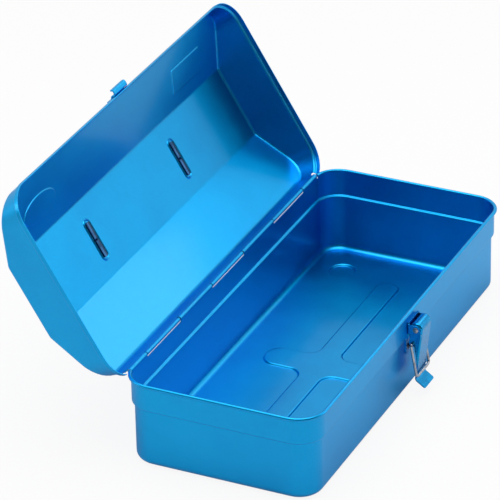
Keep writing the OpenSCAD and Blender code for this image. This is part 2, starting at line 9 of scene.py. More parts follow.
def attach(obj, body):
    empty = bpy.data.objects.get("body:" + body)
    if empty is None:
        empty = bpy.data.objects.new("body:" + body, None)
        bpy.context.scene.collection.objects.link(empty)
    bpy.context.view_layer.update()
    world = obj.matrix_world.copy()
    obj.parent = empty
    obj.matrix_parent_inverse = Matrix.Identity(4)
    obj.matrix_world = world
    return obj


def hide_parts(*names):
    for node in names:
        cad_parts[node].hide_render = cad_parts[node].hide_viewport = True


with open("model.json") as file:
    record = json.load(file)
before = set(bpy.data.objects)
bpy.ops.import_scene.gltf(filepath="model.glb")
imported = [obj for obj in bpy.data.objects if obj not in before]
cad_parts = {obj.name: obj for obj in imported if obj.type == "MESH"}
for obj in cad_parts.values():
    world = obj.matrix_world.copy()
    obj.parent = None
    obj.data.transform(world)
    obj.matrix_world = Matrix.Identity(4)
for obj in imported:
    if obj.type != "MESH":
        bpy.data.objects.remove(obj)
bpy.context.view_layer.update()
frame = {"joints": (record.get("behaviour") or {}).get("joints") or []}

# ---------------------------------------------------------------- viewpoint and studio
# A long lens looks down on the near left corner of the open box. The box stands on a
# white sweep, lit by a large soft panel overhead and smaller ones on three sides.

AZIMUTH = math.radians(-64.49)
ELEVATION = math.radians(28.75)
ROLL = math.radians(-1.26)
DISTANCE = 2.9913
AIM = Vector((0.08256, 0.05631, 0.0415))
FOCAL_PIXELS = 3787.2
FRAME_PIXELS = 500
SENSOR_WIDTH = 36
SIGHT_END = 20

towards_camera = Vector((
    math.sin(AZIMUTH) * math.cos(ELEVATION),
    -math.cos(AZIMUTH) * math.cos(ELEVATION),
    math.sin(ELEVATION),
))
camera_data = bpy.data.cameras.new("camera")
camera_data.sensor_width = SENSOR_WIDTH
camera_data.lens = FOCAL_PIXELS / FRAME_PIXELS * SENSOR_WIDTH
camera_data.clip_end = SIGHT_END
camera = bpy.data.objects.new("camera", camera_data)
turned = towards_camera.to_track_quat("Z", "Y").to_matrix() @ Matrix.Rotation(ROLL, 3, "Z")
camera.matrix_world = Matrix.Translation(AIM + DISTANCE * towards_camera) @ turned.to_4x4()
bpy.context.scene.collection.objects.link(camera)
bpy.context.scene.camera = camera
bpy.context.scene.view_settings.view_transform = "Standard"


def soft_panel(name, place, aim, size, watts):
    """A rectangular studio soft box at place, facing aim."""
    data = bpy.data.lights.new(name, "AREA")
    data.shape = "RECTANGLE"
    data.size, data.size_y = size
    data.energy = watts
    light = bpy.data.objects.new(name, data)
    facing = (Vector(place) - Vector(aim)).to_track_quat("Z", "Y").to_matrix().to_4x4()
    light.matrix_world = Matrix.Translation(Vector(place)) @ facing
    light.visible_camera = False
    bpy.context.scene.collection.objects.link(light)


soft_panel("overhead panel", (-0.1, 0.1, 1.5), (0, 0.05, 0.05), (1.4, 1.2), 13)
soft_panel("right panel", (0.62, -0.2, 0.66), (-0.16, 0.05, 0.07), (0.2, 0.2), 0.35)
soft_panel("front panel", (0.9, -1.5, 0.7), (0, 0, 0.05), (0.9, 0.9), 4)
soft_panel("back panel", (-0.92, 1.5, 0.6), (-0.18, 0.15, 0.16), (0.5, 0.4), 1.8)


class Value:
    """The output of a shader node, so that shader maths reads as plain arithmetic."""

    def __init__(self, finish, socket):
        self.finish, self.socket = finish, socket

    def maths(self, operation, first, second):
        return self.finish.add("ShaderNodeMath", {"operation": operation}, {0: first, 1: second})

    def __add__(self, other):
        return self.maths("ADD", self, other)

    def __sub__(self, other):
        return self.maths("SUBTRACT", self, other)

    def __rsub__(self, other):
        return self.maths("SUBTRACT", other, self)

    def __mul__(self, other):
        return self.maths("MULTIPLY", self, other)

    __radd__ = __add__
    __rmul__ = __mul__


class Finish:
    """The nodes of one material or of the world, and the ways to add to them."""

    def __init__(self, owner):
        owner.use_nodes = True
        self.owner = owner
        self.nodes = owner.node_tree.nodes

    def add(self, kind, settings=None, inputs=None, output=0):
        """A node of this type with its settings, then its sockets' values or links."""
        node = self.nodes.new(kind)
        for name, value in (settings or {}).items():
            setattr(node, name, value)
        self.feed(node, inputs or {})
        return Value(self, node.outputs[output])

    def feed(self, node, inputs):
        for name, value in inputs.items():
            if isinstance(value, Value):
                self.owner.node_tree.links.new(value.socket, node.inputs[name])
            else:
                node.inputs[name].default_value = value


# the camera sees plain white; the gloss sees a backdrop a little below white, which
# falls off to the dark of the room behind the camera; all else gets the fill light
FILL = 0.55
ROOM = 0.08
BACKDROP = 0.86
BACKDROP_WAY = (0.83, 0.5, 0.25)
BACKDROP_FALL = (-0.6, 0.2)
PLAIN_WHITE = (1, 1, 1, 1)
world = bpy.data.worlds.new("studio")
bpy.context.scene.world = world
air = Finish(world)
seen = air.add("ShaderNodeLightPath", output="Is Camera Ray")
glossy = air.add("ShaderNodeLightPath", output="Is Glossy Ray")
facing = air.add("ShaderNodeVectorMath", {"operation": "DOT_PRODUCT"}, {
    0: air.add("ShaderNodeTexCoord", output="Generated"), 1: BACKDROP_WAY}, output="Value")
backdrop = air.add("ShaderNodeMapRange", {"clamp": True, "interpolation_type": "SMOOTHSTEP"}, {
    "Value": facing, "From Min": BACKDROP_FALL[0], "From Max": BACKDROP_FALL[1],
    "To Min": ROOM, "To Max": BACKDROP})
lit = glossy * (backdrop - FILL) + FILL
air.feed(air.nodes["Background"], {"Color": PLAIN_WHITE, "Strength": seen * (1 - lit) + lit})

# most of what the camera sees of the floor is even white, so that it joins the backdrop
FLOOR_HALF = 6
PAPER_WHITE = (0.8, 0.8, 0.8, 1)
EVEN_SHARE = 0.9
floor_mesh = bmesh.new()
bmesh.ops.create_grid(floor_mesh, x_segments=1, y_segments=1, size=FLOOR_HALF)
floor_data = bpy.data.meshes.new("studio_floor")
floor_mesh.to_mesh(floor_data)
floor_mesh.free()
studio_floor = bpy.data.objects.new("studio_floor", floor_data)
bpy.context.scene.collection.objects.link(studio_floor)
sweep_white = bpy.data.materials.new("sweep white")
paper = Finish(sweep_white)
paper_shader = paper.nodes["Principled BSDF"]
paper.feed(paper_shader, {
    "Base Color": PAPER_WHITE, "Roughness": 0.9, "Specular IOR Level": 0.1})
glow = paper.add("ShaderNodeEmission", None, {"Color": PLAIN_WHITE, "Strength": 1.0})
straight = paper.add("ShaderNodeLightPath", output="Is Camera Ray")
paper.feed(paper.nodes["Material Output"], {"Surface": paper.add(
    "ShaderNodeMixShader", None, {
        0: straight * EVEN_SHARE, 1: Value(paper, paper_shader.outputs[0]), 2: glow})})
floor_data.materials.append(sweep_white)


# ---------------------------------------------------------------- tray
# The tray is one deep pressing of 0.8 mm sheet steel in blue paint. Its wall steps out
# to a wide band, its rim is rolled into a bead, and its back wall carries four rolled
# hinge knuckles. A cross and four round feet are pressed into the floor.

MM = 0.001
HALF_LENGTH = 185 * MM
HALF_DEPTH = 78.9 * MM
CORNER = 23 * MM
TRAY_SHEET = 0.8 * MM
FLOOR_BEND = 5.8 * MM
RIM_Z = 72.5 * MM
# the step in the wall, and the open bead that the rim is rolled into
STEP_Z = 48.4 * MM
STEP_IN = 2.1 * MM
STEP_ANGLE = 70
STEP_BEND = 1.2 * MM
BEAD_OUT = 2.1 * MM
BEAD_RADIUS = 1.05 * MM
BEAD_TURN = 290
BAND_Y = HALF_DEPTH - BEAD_OUT
# the hinge: its line, and knuckles as (start, end) to the right of the middle
PIN_Y, PIN_Z = 78 * MM, 70.5 * MM
BORE = 1.2 * MM
WRAP = 275
NOTCH_Z = PIN_Z - 1.8 * MM
HINGE_END = 166.5 * MM
RIM_SLIT = 0.7 * MM
TRAY_KNUCKLES = ((28.6 * MM, 83.4 * MM), (140.6 * MM, HINGE_END))
# every piece is built from the middle of the tray's feet, and moved forward by this much
# at the end to stand where it does in the frame
FEET_FORWARD = PIN_Y - next(j for j in frame["joints"] if j["name"] == "lid_hinge")["pos_m"][1]
# the cross's arms as (half length, half width), and the feet's discs
CROSS_LONG = (139.5 * MM, 9.75 * MM)
CROSS_SHORT = (46.5 * MM, 13.5 * MM)
CROSS_RISE = 1.4 * MM
CROSS_TIP_FLAT = 1 * MM
CROSS_END_RADIUS = 11.5 * MM
CROSS_FILLET = 9.5 * MM
FOOT_DROP = 1.5 * MM
FOOT_PLACE = (145 * MM, 45 * MM)
FOOT_RADIUS = 11.4 * MM
FOOT_SIDES = 32
# a pressed edge as (inset, share of the height) from the flat sheet to the panel
PRESSED_EDGE = ((0.5 * MM, 0.12), (0.4 * MM, 0.38), (0.4 * MM, 0.38), (0.5 * MM, 0.12))
# cut edges are eased by this much where the surface turns by more than this angle, and
# a face with more sides than this is cut into triangles
EDGE = 0.12 * MM
EASED_OVER = math.radians(58)
MOST_SIDES = 8
# how fine the bends are: degrees to a face in sheet seen on edge and in a swing, and
# faces to a corner of a quarter turn
ROLL_STEP = 12
SWING_STEP = 9
CORNER_STEPS = 12
# how close points are to count as one place, to count as near it, and to be merged, and
# the longer reach that closes the slivers beside the hinge
SAME = 0.001 * MM
NEAR = 0.01 * MM
MERGE = 0.02 * MM
SLIVER_WIDTH, SLIVER_REACH = 0.3 * MM, 0.9 * MM
# noise cells in a metre of paint, and its colours, gloss and clear coat
FLAKE_GRAIN = 2600
CLOUD_GRAIN = 14
PEEL_GRAIN, WAVE_GRAIN = 420, 60
PAINT_DEEP = (0.0, 0.30, 0.68, 1)
PAINT_BRIGHT = (0.0, 0.49, 0.93, 1)
PAINT_GLINT = (0.8, 0.9, 1.0, 1)
PAINT_ROUGHNESS = (0.33, 0.41)
CLEAR_COAT, COAT_ROUGHNESS = 0.28, 0.12


def rolled(start, moves, step=ROLL_STEP):
    """Points along bent sheet seen on edge, from (out, up, heading) and moves of
    (straight length, turn in degrees, bend radius)."""
    x, z, heading = start
    points = [(x, z)]
    for run, turned_by, radius in moves:
        a = math.radians(heading)
        if run:
            x, z = x + run * math.cos(a), z + run * math.sin(a)
            points.append((x, z))
        if turned_by:
            count = math.ceil(abs(turned_by) / step)
            side = math.copysign(radius, turned_by)
            cx, cz = x - side * math.sin(a), z + side * math.cos(a)
            for k in range(1, count + 1):
                b = a + math.radians(turned_by) * k / count
                points.append((cx + side * math.sin(b), cz - side * math.cos(b)))
            x, z = points[-1]
            heading += turned_by
    return points


def joggle(across, angle, first, second):
    """The straight run of a joggle that shifts the sheet across between two bends."""
    tilt = math.radians(angle)
    return (across - (first + second) * (1 - math.cos(tilt))) / math.sin(tilt)


def row(bm, places):
    """Vertices at these places, joined one to the next."""
    verts = [bm.verts.new(place) for place in places]
    return verts + [bm.edges.new(pair) for pair in zip(verts, verts[1:])]


def slide(bm, geom, way):
    """Draws a row of vertices out into a sheet along a straight way."""
    return bmesh.ops.spin(
        bm, geom=geom, cent=(0, 0, 0), axis=(0, 0, 1), angle=0, steps=1, dvec=way,
        use_duplicate=False)["geom_last"]


def swing(bm, geom, centre, angle, steps, axis=(0, 0, 1)):
    """Draws a row of vertices out into a sheet round a centre."""
    return bmesh.ops.spin(
        bm, geom=geom, cent=centre, axis=axis, angle=angle, steps=steps, dvec=(0, 0, 0),
        use_duplicate=False)["geom_last"]


def half_round(bm, profile, half_x, y_low, y_high, corner, stops, angles):
    """Draws a profile of (out, up) points round the right half of a rounded rectangle:
    along the back through the stops, round the back corner through the angles, along
    the end, and round to the middle of the front."""
    right, back, front = half_x - corner, y_high - corner, y_low + corner
    start = stops[0] if stops else right
    strip = row(bm, [(
        start + (corner + out) * math.sin(angles[0]),
        back + (corner + out) * math.cos(angles[0]), up) for out, up in profile])
    for here, there in zip(stops, list(stops[1:]) + [right]):
        strip = slide(bm, strip, (there - here, 0, 0))
    for here, there in zip(angles, angles[1:]):
        strip = swing(bm, strip, (right, back, 0), here - there,
                      max(1, round(math.degrees(there - here) / SWING_STEP)))
    strip = slide(bm, strip, (0, front - back, 0))
    strip = swing(bm, strip, (right, front, 0), -math.pi / 2, CORNER_STEPS)
    slide(bm, strip, (-right, 0, 0))


def draw_across(bm, profile, stops):
    """Draws a profile of (y, z) points along x through the stops."""
    strip = row(bm, [(stops[0], y, z) for y, z in profile])
    for here, there in zip(stops, stops[1:]):
        strip = slide(bm, strip, (there - here, 0, 0))


def mirror_over(bm, z):
    """Mirrors the right half to the left, and closes the slivers at this height, where
    the straight hinge strip meets the round corner."""
    bmesh.ops.mirror(bm, geom=bm.verts[:] + bm.edges[:] + bm.faces[:], axis="X",
                     merge_dist=MERGE)
    bmesh.ops.remove_doubles(bm, verts=bm.verts, dist=MERGE)
    slivers = [v for v in bm.verts if abs(abs(v.co.x) - HINGE_END) < SLIVER_WIDTH
               and abs(v.co.z - z) < MERGE]
    bmesh.ops.remove_doubles(bm, verts=slivers, dist=SLIVER_REACH)


def press(bm, face, height, edge=PRESSED_EDGE):
    """Presses a panel out of the sheet along its normal, with soft bends round its edge."""
    for inset, share in edge:
        bmesh.ops.inset_region(
            bm, faces=[face], thickness=inset, depth=share * height, use_boundary=True,
            use_even_offset=True)


def face_up(face):
    face.normal_update()
    if face.normal.z < 0:
        face.normal_flip()


def round_corners(bm, verts, radius, segments=6):
    """Rounds the corners of flat sheet."""
    bmesh.ops.bevel(
        bm, geom=verts, offset=radius, offset_type="OFFSET", segments=segments, profile=0.5,
        affect="VERTICES", material=-1)


def fill_in(bm, border, normal=(0, 0, 1)):
    """Fills the flat sheet inside these edges and round what stands in it."""
    bmesh.ops.triangle_fill(
        bm, use_beauty=True, use_dissolve=False, edges=border, normal=normal)


def finish_piece(name, bm, body, node, material, sheet=0.0, edge=EDGE):
    """Makes a finished piece of a bmesh, with its sheet thickness and eased edges."""
    bmesh.ops.translate(bm, vec=(0, -FEET_FORWARD, 0), verts=bm.verts)
    bmesh.ops.triangulate(bm, faces=[f for f in bm.faces if len(f.verts) > MOST_SIDES])
    bmesh.ops.recalc_face_normals(bm, faces=bm.faces)
    data = bpy.data.meshes.new(name)
    bm.to_mesh(data)
    bm.free()
    data.polygons.foreach_set("use_smooth", [True] * len(data.polygons))
    data.materials.append(material)
    made = bpy.data.objects.new(name, data)
    bpy.context.scene.collection.objects.link(made)
    if sheet:
        thickness = made.modifiers.new("sheet", "SOLIDIFY")
        thickness.thickness = sheet
        thickness.offset = 0
        thickness.use_even_offset = True
    if edge:
        eased = made.modifiers.new("eased edges", "BEVEL")
        eased.width = edge
        eased.segments = 2
        eased.limit_method = "ANGLE"
        eased.angle_limit = EASED_OVER
    made.modifiers.new("flat panels", "WEIGHTED_NORMAL")
    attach(made, body)
    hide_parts(node)


class Paint(Finish):
    """A material on the Principled shader; what is even all over is set on its sockets."""

    def __init__(self, name, **even):
        super().__init__(bpy.data.materials.new(name))
        self.shader = self.nodes["Principled BSDF"]
        self.set(**even)
        self.place = self.add("ShaderNodeTexCoord", output="Object")

    def set(self, **sockets):
        self.feed(self.shader, {
            name.replace("_", " "): value for name, value in sockets.items()})

    def noise(self, scale, detail=2.0, roughness=0.5):
        return self.add("ShaderNodeTexNoise", None, {
            "Vector": self.place, "Scale": scale, "Detail": detail, "Roughness": roughness})

    def span(self, value, low, high, to_low=0.0, to_high=1.0):
        return self.add("ShaderNodeMapRange", {"clamp": True}, {
            "Value": value, "From Min": low, "From Max": high,
            "To Min": to_low, "To Max": to_high})

    def blend(self, factor, first, second):
        return self.add("ShaderNodeMix", {"data_type": "RGBA"}, {
            "Factor": factor, 6: first, 7: second}, output=2)

    def relief(self, height, distance, strength):
        self.set(Normal=self.add("ShaderNodeBump", None, {
            "Height": height, "Distance": distance, "Strength": strength}))


def blue_paint(name):
    """Stoved blue metallic paint: fine flakes, faint mottling and orange peel."""
    paint = Paint(name, Metallic=1.0, Coat_Weight=CLEAR_COAT, Coat_Roughness=COAT_ROUGHNESS,
                  Specular_Tint=PAINT_GLINT)
    flakes = paint.span(paint.noise(FLAKE_GRAIN, 1.0), 0.42, 0.64)
    clouds = paint.span(paint.noise(CLOUD_GRAIN, 3.0, 0.6), 0.3, 0.7)
    paint.set(
        Base_Color=paint.blend(flakes * 0.4 + clouds * 0.3, PAINT_DEEP, PAINT_BRIGHT),
        Roughness=paint.span(clouds + flakes * 0.25, 0.0, 1.25, *PAINT_ROUGHNESS))
    paint.relief(paint.noise(PEEL_GRAIN) * 0.7 + paint.noise(WAVE_GRAIN) * 0.3, 0.03 * MM, 0.5)
    return paint.owner


tray_paint = blue_paint("tray paint")
tray = bmesh.new()
half = TRAY_SHEET / 2
low_x, low_y = HALF_LENGTH - BEAD_OUT - STEP_IN, BAND_Y - STEP_IN
low_corner = CORNER - BEAD_OUT - STEP_IN
step_run = joggle(STEP_IN, STEP_ANGLE, STEP_BEND, STEP_BEND)
floor_level = FOOT_DROP + half
wall_profile = rolled((-FLOOR_BEND, floor_level, 0), [
    (0, 90, FLOOR_BEND - half),
    (STEP_Z - FOOT_DROP - FLOOR_BEND, -STEP_ANGLE, STEP_BEND),
    (step_run, STEP_ANGLE, STEP_BEND)])
band_out = wall_profile[-1][0]
wall_profile.append((band_out, NOTCH_Z))
band_profile = rolled((band_out, NOTCH_Z, 90), [
    (RIM_Z - BEAD_RADIUS - half - NOTCH_Z, -BEAD_TURN, BEAD_RADIUS)], 15)
# the angles round the back corner at which the hinge strip ends and the rim starts
past, past_slit = (math.asin((x - (low_x - low_corner)) / (low_corner + band_out))
                   for x in (HINGE_END, HINGE_END + RIM_SLIT))
stops = [0] + [x for pair in TRAY_KNUCKLES for x in pair if x < HINGE_END]
half_round(tray, wall_profile, low_x, -low_y, low_y, low_corner, stops,
           (0, past, past_slit, math.pi / 2))
half_round(tray, band_profile, low_x, -low_y, low_y, low_corner, (), (past_slit, math.pi / 2))
knuckle_profile = rolled((BAND_Y - half, NOTCH_Z, 90), [(PIN_Z - NOTCH_Z, -WRAP, BORE + half)])
draw_across(tray, knuckle_profile, TRAY_KNUCKLES[0])
draw_across(tray, knuckle_profile, (TRAY_KNUCKLES[1][0], low_x - low_corner, HINGE_END))
mirror_over(tray, NOTCH_Z)

long_x, long_y = CROSS_LONG
short_y, short_x = CROSS_SHORT
outline = []
for spin_x, spin_y in ((1, 1), (-1, 1), (-1, -1), (1, -1)):
    corners = [(long_x, long_y), (short_x, long_y), (short_x, short_y)]
    if spin_x * spin_y < 0:
        corners.reverse()
    outline += [(spin_x * x, spin_y * y, floor_level) for x, y in corners]
wall_verts = set(tray.verts)
tray.faces.new([tray.verts.new(place) for place in outline])


def cross_corners(x, y):
    """The corners of the cross that lie this far from the middle."""
    return [v for v in tray.verts if v not in wall_verts
            and abs(abs(v.co.x) - x) < NEAR and abs(abs(v.co.y) - y) < NEAR]


round_corners(tray, cross_corners(long_x, long_y), long_y - CROSS_TIP_FLAT, 10)
round_corners(tray, cross_corners(short_x, short_y), CROSS_END_RADIUS, 8)
round_corners(tray, cross_corners(short_x, long_y), CROSS_FILLET, 8)
feet = []
for foot_x in (-1, 1):
    for foot_y in (-1, 1):
        disc = bmesh.ops.create_circle(
            tray, cap_ends=True, segments=FOOT_SIDES, radius=FOOT_RADIUS,
            matrix=Matrix.Translation((
                foot_x * FOOT_PLACE[0], foot_y * FOOT_PLACE[1], floor_level)))["verts"]
        feet.append(disc[0].link_faces[0])
cross = next(f for f in tray.faces if len(f.verts) > FOOT_SIDES)
for face in [cross] + feet:
    face_up(face)
press(tray, cross, CROSS_RISE)
for foot in feet:
    press(tray, foot, -FOOT_DROP)
fill_in(tray, [e for e in tray.edges if len(e.link_faces) < 2
               and all(abs(v.co.z - floor_level) < SAME for v in e.verts)])
finish_piece("tray", tray, "box", "body_shell", tray_paint, TRAY_SHEET)


# ---------------------------------------------------------------- lid
# The lid is one pressing of 0.6 mm sheet steel: a flat top between two roof slopes,
# leaning walls and a stepped skirt, with three knuckles rolled at the back. It is built
# shut and swung open.

LID_SHEET = 0.6 * MM
LID_RIM_Z = 69.1 * MM
LID_TOP_Z = 109.6 * MM
LID_OPEN = math.radians(121.5)
LID_MID = -1.0 * MM
# the skirt round the tray's rim, and where it ends at the back
SKIRT_X = 186.5 * MM
SKIRT_FRONT = -82.6 * MM
SKIRT_BACK = 80.6 * MM
SKIRT_CORNER = 24.1 * MM
SKIRT_RUN = 2.7 * MM
SKIRT_END = 172.8 * MM
# the back wall below this height is a leaf that steps in to the hinge
LEAF_Z = LID_RIM_Z + 6.14 * MM
LEAF_BEND, LEAF_ANGLE = 0.6 * MM, 60
LEAF_LEAD = 0.8 * MM
LID_KNUCKLES = (27.4 * MM, 84.6 * MM, 139.4 * MM)
# the walls lean by this many degrees, and are drawn this far past the top for the roof
# to cut off
DRAFT = 8.7
WALL_SPARE = 3 * MM
# the roof: its slope, half its flat top, and the soft bends of its folds and eaves. The
# eaves are above this height and turn by more than this, in radians.
ROOF_SLOPE = math.radians(27.5)
HALF_TOP = 30.65 * MM
FOLD_EASE = 1.22 * MM
ROOF_EASE = 2.0 * MM
EAVES_OVER = LEAF_Z + 5 * MM
EAVES_ANGLE = 0.6
# how close points are to be cut through and to count as on a plane, and how nearly
# normals agree on one
CUT_REACH, PLANE_REACH = 0.0001 * MM, 0.002 * MM
IN_LINE = 0.9999
# two shallow pads near the ends of the front slope, the right one with corners and the
# left one oval, by their half sizes
PAD_X, PAD_DOWN = 124 * MM, 23 * MM
PAD_SIZE = (25 * MM, 11 * MM)
PAD_CORNER = 1.6 * MM
PAD_DEPTH = 0.5 * MM
PAD_EDGE = ((0.25 * MM, 0.15), (0.3 * MM, 0.35), (0.3 * MM, 0.35), (0.25 * MM, 0.15))
# an oval bead with a slot in its middle for each of the handle's clips
CLIP_X = 72 * MM
SLOT = (3.05 * MM, 1.4 * MM)
OVAL_SIZE = (18 * MM, 5.1 * MM)
OVAL_CORNER = OVAL_SIZE[1] - 0.5 * MM
OVAL_DEPTH = 0.8 * MM
OVAL_EDGE = ((0.35 * MM, 0.2), (0.35 * MM, 0.6), (0.25 * MM, 0.2), (0.25 * MM, -0.2),
             (0.35 * MM, -0.6), (0.35 * MM, -0.2))


def leaning(up):
    """Where the lid's leaning wall is at this height."""
    return wall_foot[0] - (up - wall_foot[1]) * lean, up


def on_plane(vert, point, normal):
    return abs((vert.co - point).dot(normal)) < PLANE_REACH


def open_edges(point, normal):
    """The lid's open edges that lie on a plane of the roof."""
    return [e for e in lid.edges if len(e.link_faces) < 2
            and all(on_plane(v, point, normal) for v in e.verts)]


def ease_folds(bm, folds, ease, segments):
    """Makes soft bends of sharp folds in the sheet."""
    bmesh.ops.bevel(
        bm, geom=folds, offset=ease, offset_type="OFFSET", segments=segments, profile=0.5,
        affect="EDGES", material=-1)


def stamp(bm, size, matrix, segments, edge, height, corner=0.0):
    """A panel or bead pressed along its normal: an oval, or a rectangle with rounded
    corners, of this half size. Returns its inner face."""
    old = set(bm.verts)
    if corner:
        made = bmesh.ops.create_grid(bm, x_segments=1, y_segments=1, size=1)["verts"]
    else:
        made = bmesh.ops.create_circle(bm, cap_ends=True, segments=segments, radius=1)["verts"]
    bmesh.ops.scale(bm, vec=(*size, 1), verts=made)
    if corner:
        round_corners(bm, made, corner, segments)
    face = next(v for v in bm.verts if v not in old).link_faces[0]
    face_up(face)
    press(bm, face, height, edge)
    bmesh.ops.transform(bm, matrix=matrix, verts=[v for v in bm.verts if v not in old])
    return face


def swing_open(bm):
    """Turns what was built on the shut lid round the hinge to where the lid stands open."""
    bmesh.ops.rotate(bm, cent=(0, PIN_Y, PIN_Z), matrix=Matrix.Rotation(-LID_OPEN, 3, "X"),
                     verts=bm.verts)


lid_paint = blue_paint("lid paint")
lid = bmesh.new()
half = LID_SHEET / 2
skirt_profile = rolled((-half, LID_RIM_Z, 90), [
    (SKIRT_RUN, STEP_ANGLE, STEP_BEND),
    (step_run, DRAFT - STEP_ANGLE, STEP_BEND)])
wall_foot = skirt_profile[-1]
lean = math.tan(math.radians(DRAFT))
leaf_top = leaning(LEAF_Z)
skirt_profile.append(leaf_top)
centre_x = SKIRT_X - SKIRT_CORNER
past_hinge = math.asin((HINGE_END - centre_x) / (SKIRT_CORNER + leaf_top[0]))
past_skirt = math.asin((SKIRT_END - centre_x) / (SKIRT_CORNER - half))
lid_way = (SKIRT_X, SKIRT_FRONT, SKIRT_BACK, SKIRT_CORNER)
half_round(lid, [leaf_top, leaning(LID_TOP_Z + WALL_SPARE)], *lid_way,
           (0,) + LID_KNUCKLES, (0, past_hinge, past_skirt, math.pi / 2))
half_round(lid, skirt_profile, *lid_way, (), (past_skirt, math.pi / 2))

leaf_start = SKIRT_BACK + leaf_top[0]
leaf_end = BAND_Y - half
leaf_run = (leaf_start - leaf_end - LEAF_BEND * (
    math.cos(math.radians(DRAFT)) + 1 - 2 * math.cos(math.radians(LEAF_ANGLE)))) \
    / math.sin(math.radians(LEAF_ANGLE))
leaf_profile = rolled((leaf_start, LEAF_Z, DRAFT - 90), [
    (0, -DRAFT - LEAF_ANGLE, LEAF_BEND), (leaf_run, LEAF_ANGLE, LEAF_BEND)])
leaf_profile.append((leaf_end, PIN_Z + LEAF_LEAD))
draw_across(lid, leaf_profile, (0,) + LID_KNUCKLES + (centre_x, HINGE_END))
lid_knuckle = rolled((leaf_end, PIN_Z + LEAF_LEAD, -90), [(LEAF_LEAD, WRAP, BORE + half)])
draw_across(lid, lid_knuckle, (0, LID_KNUCKLES[0]))
draw_across(lid, lid_knuckle, LID_KNUCKLES[1:])
mirror_over(lid, LEAF_Z)

# the roof: three planes cut the walls off, then sheets close the opening
roof_planes = []
for side in (0, -1, 1):
    normal = Matrix.Rotation(-side * ROOF_SLOPE, 3, "X") @ Vector((0, 0, 1))
    point = Vector((0, LID_MID + side * HALF_TOP, LID_TOP_Z)) - half * normal
    roof_planes.append((point, normal))
    bmesh.ops.bisect_plane(
        lid, geom=lid.verts[:] + lid.edges[:] + lid.faces[:], dist=CUT_REACH,
        plane_co=point, plane_no=normal, clear_outer=True)
folds = [
    lid.edges.new([v for v in lid.verts if on_plane(v, *slope) and on_plane(v, *roof_planes[0])])
    for slope in roof_planes[1:]]
for plane in roof_planes:
    bmesh.ops.contextual_create(lid, geom=open_edges(*plane))
bmesh.ops.recalc_face_normals(lid, faces=lid.faces)
ease_folds(lid, folds, FOLD_EASE, 3)
lid.normal_update()
eaves = [e for e in lid.edges if len(e.link_faces) == 2 and e.calc_face_angle() > EAVES_ANGLE
         and min(v.co.z for v in e.verts) > EAVES_OVER]
ease_folds(lid, eaves, ROOF_EASE, 4)

# the top and the front slope are taken out, and filled again round what is pressed there
lid.normal_update()
for point, normal in roof_planes[:2]:
    flat = max((f for f in lid.faces if f.normal.dot(normal) > IN_LINE),
               key=lambda f: f.calc_area())
    bmesh.ops.delete(lid, geom=[flat], context="FACES_ONLY")
on_front = (Matrix.Translation((0, LID_MID - HALF_TOP, LID_TOP_Z))
            @ Matrix.Rotation(ROOF_SLOPE, 4, "X"))
for side, segments, corner in ((1, 4, PAD_CORNER), (-1, 56, 0.0)):
    stamp(lid, PAD_SIZE, on_front @ Matrix.Translation((side * PAD_X, -PAD_DOWN, -half)),
          segments, PAD_EDGE, -PAD_DEPTH, corner)
at_clips = [Matrix.Translation((side * CLIP_X, 0, LID_TOP_Z - half)) for side in (-1, 1)]
clip_faces = [
    stamp(lid, OVAL_SIZE, at_clip @ Matrix.Rotation(math.pi / 2, 4, "Z"), 7, OVAL_EDGE,
          -OVAL_DEPTH, OVAL_CORNER)
    for at_clip in at_clips]
for plane in roof_planes[:2]:
    fill_in(lid, open_edges(*plane), plane[1])
for at_clip, face in zip(at_clips, clip_faces):
    slot = bmesh.ops.create_grid(lid, x_segments=1, y_segments=1, size=1,
                                 matrix=at_clip @ Matrix.Diagonal((*SLOT, 1, 1)))["verts"]
    slot_face = slot[0].link_faces[0]
    around = list(face.edges) + list(slot_face.edges)
    bmesh.ops.delete(lid, geom=[face, slot_face], context="FACES_ONLY")
    fill_in(lid, around)
swing_open(lid)
finish_piece("lid", lid, "lid", "lid_shell", lid_paint, LID_SHEET)


# ---------------------------------------------------------------- hinge pin
# One hard steel wire runs through all seven knuckles. Only its cut ends and the narrow
# gaps between the knuckles show it.

PIN_RADIUS = 1.15 * MM
PIN_STEEL = (0.30, 0.31, 0.34)
# noise cells in a metre of bare steel: its drawn lines and its grime
LINE_GRAIN, GRIME_GRAIN = 900, 190


def draw_wire(bm, radius, moves, matrix, sides=20):
    """Round wire that starts at matrix along its x, with moves of (straight length, turn
    in degrees, bend radius) in its xy plane."""
    old = set(bm.verts)
    ring = bmesh.ops.create_circle(
        bm, cap_ends=False, segments=sides, radius=radius,
        matrix=Matrix.Rotation(math.pi / 2, 4, "Y"))["verts"]
    section = ring + list({e for v in ring for e in v.link_edges})
    x, y, heading = 0.0, 0.0, 0.0
    for run, turned_by, bend in moves:
        a = math.radians(heading)
        if run:
            section = slide(bm, section, (run * math.cos(a), run * math.sin(a), 0))
            x, y = x + run * math.cos(a), y + run * math.sin(a)
        if turned_by:
            side = math.copysign(bend, turned_by)
            centre = (x - side * math.sin(a), y + side * math.cos(a), 0)
            section = swing(bm, section, centre, math.radians(turned_by),
                            math.ceil(abs(turned_by) / SWING_STEP))
            heading += turned_by
            b = math.radians(heading)
            x, y = centre[0] + side * math.sin(b), centre[1] - side * math.cos(b)
    made = [v for v in bm.verts if v not in old]
    bmesh.ops.remove_doubles(bm, verts=made, dist=SAME)
    made = [v for v in bm.verts if v not in old]
    ends = list({e for v in made for e in v.link_edges if e.is_boundary})
    bmesh.ops.holes_fill(bm, edges=ends, sides=0)
    bmesh.ops.transform(bm, matrix=matrix, verts=made)


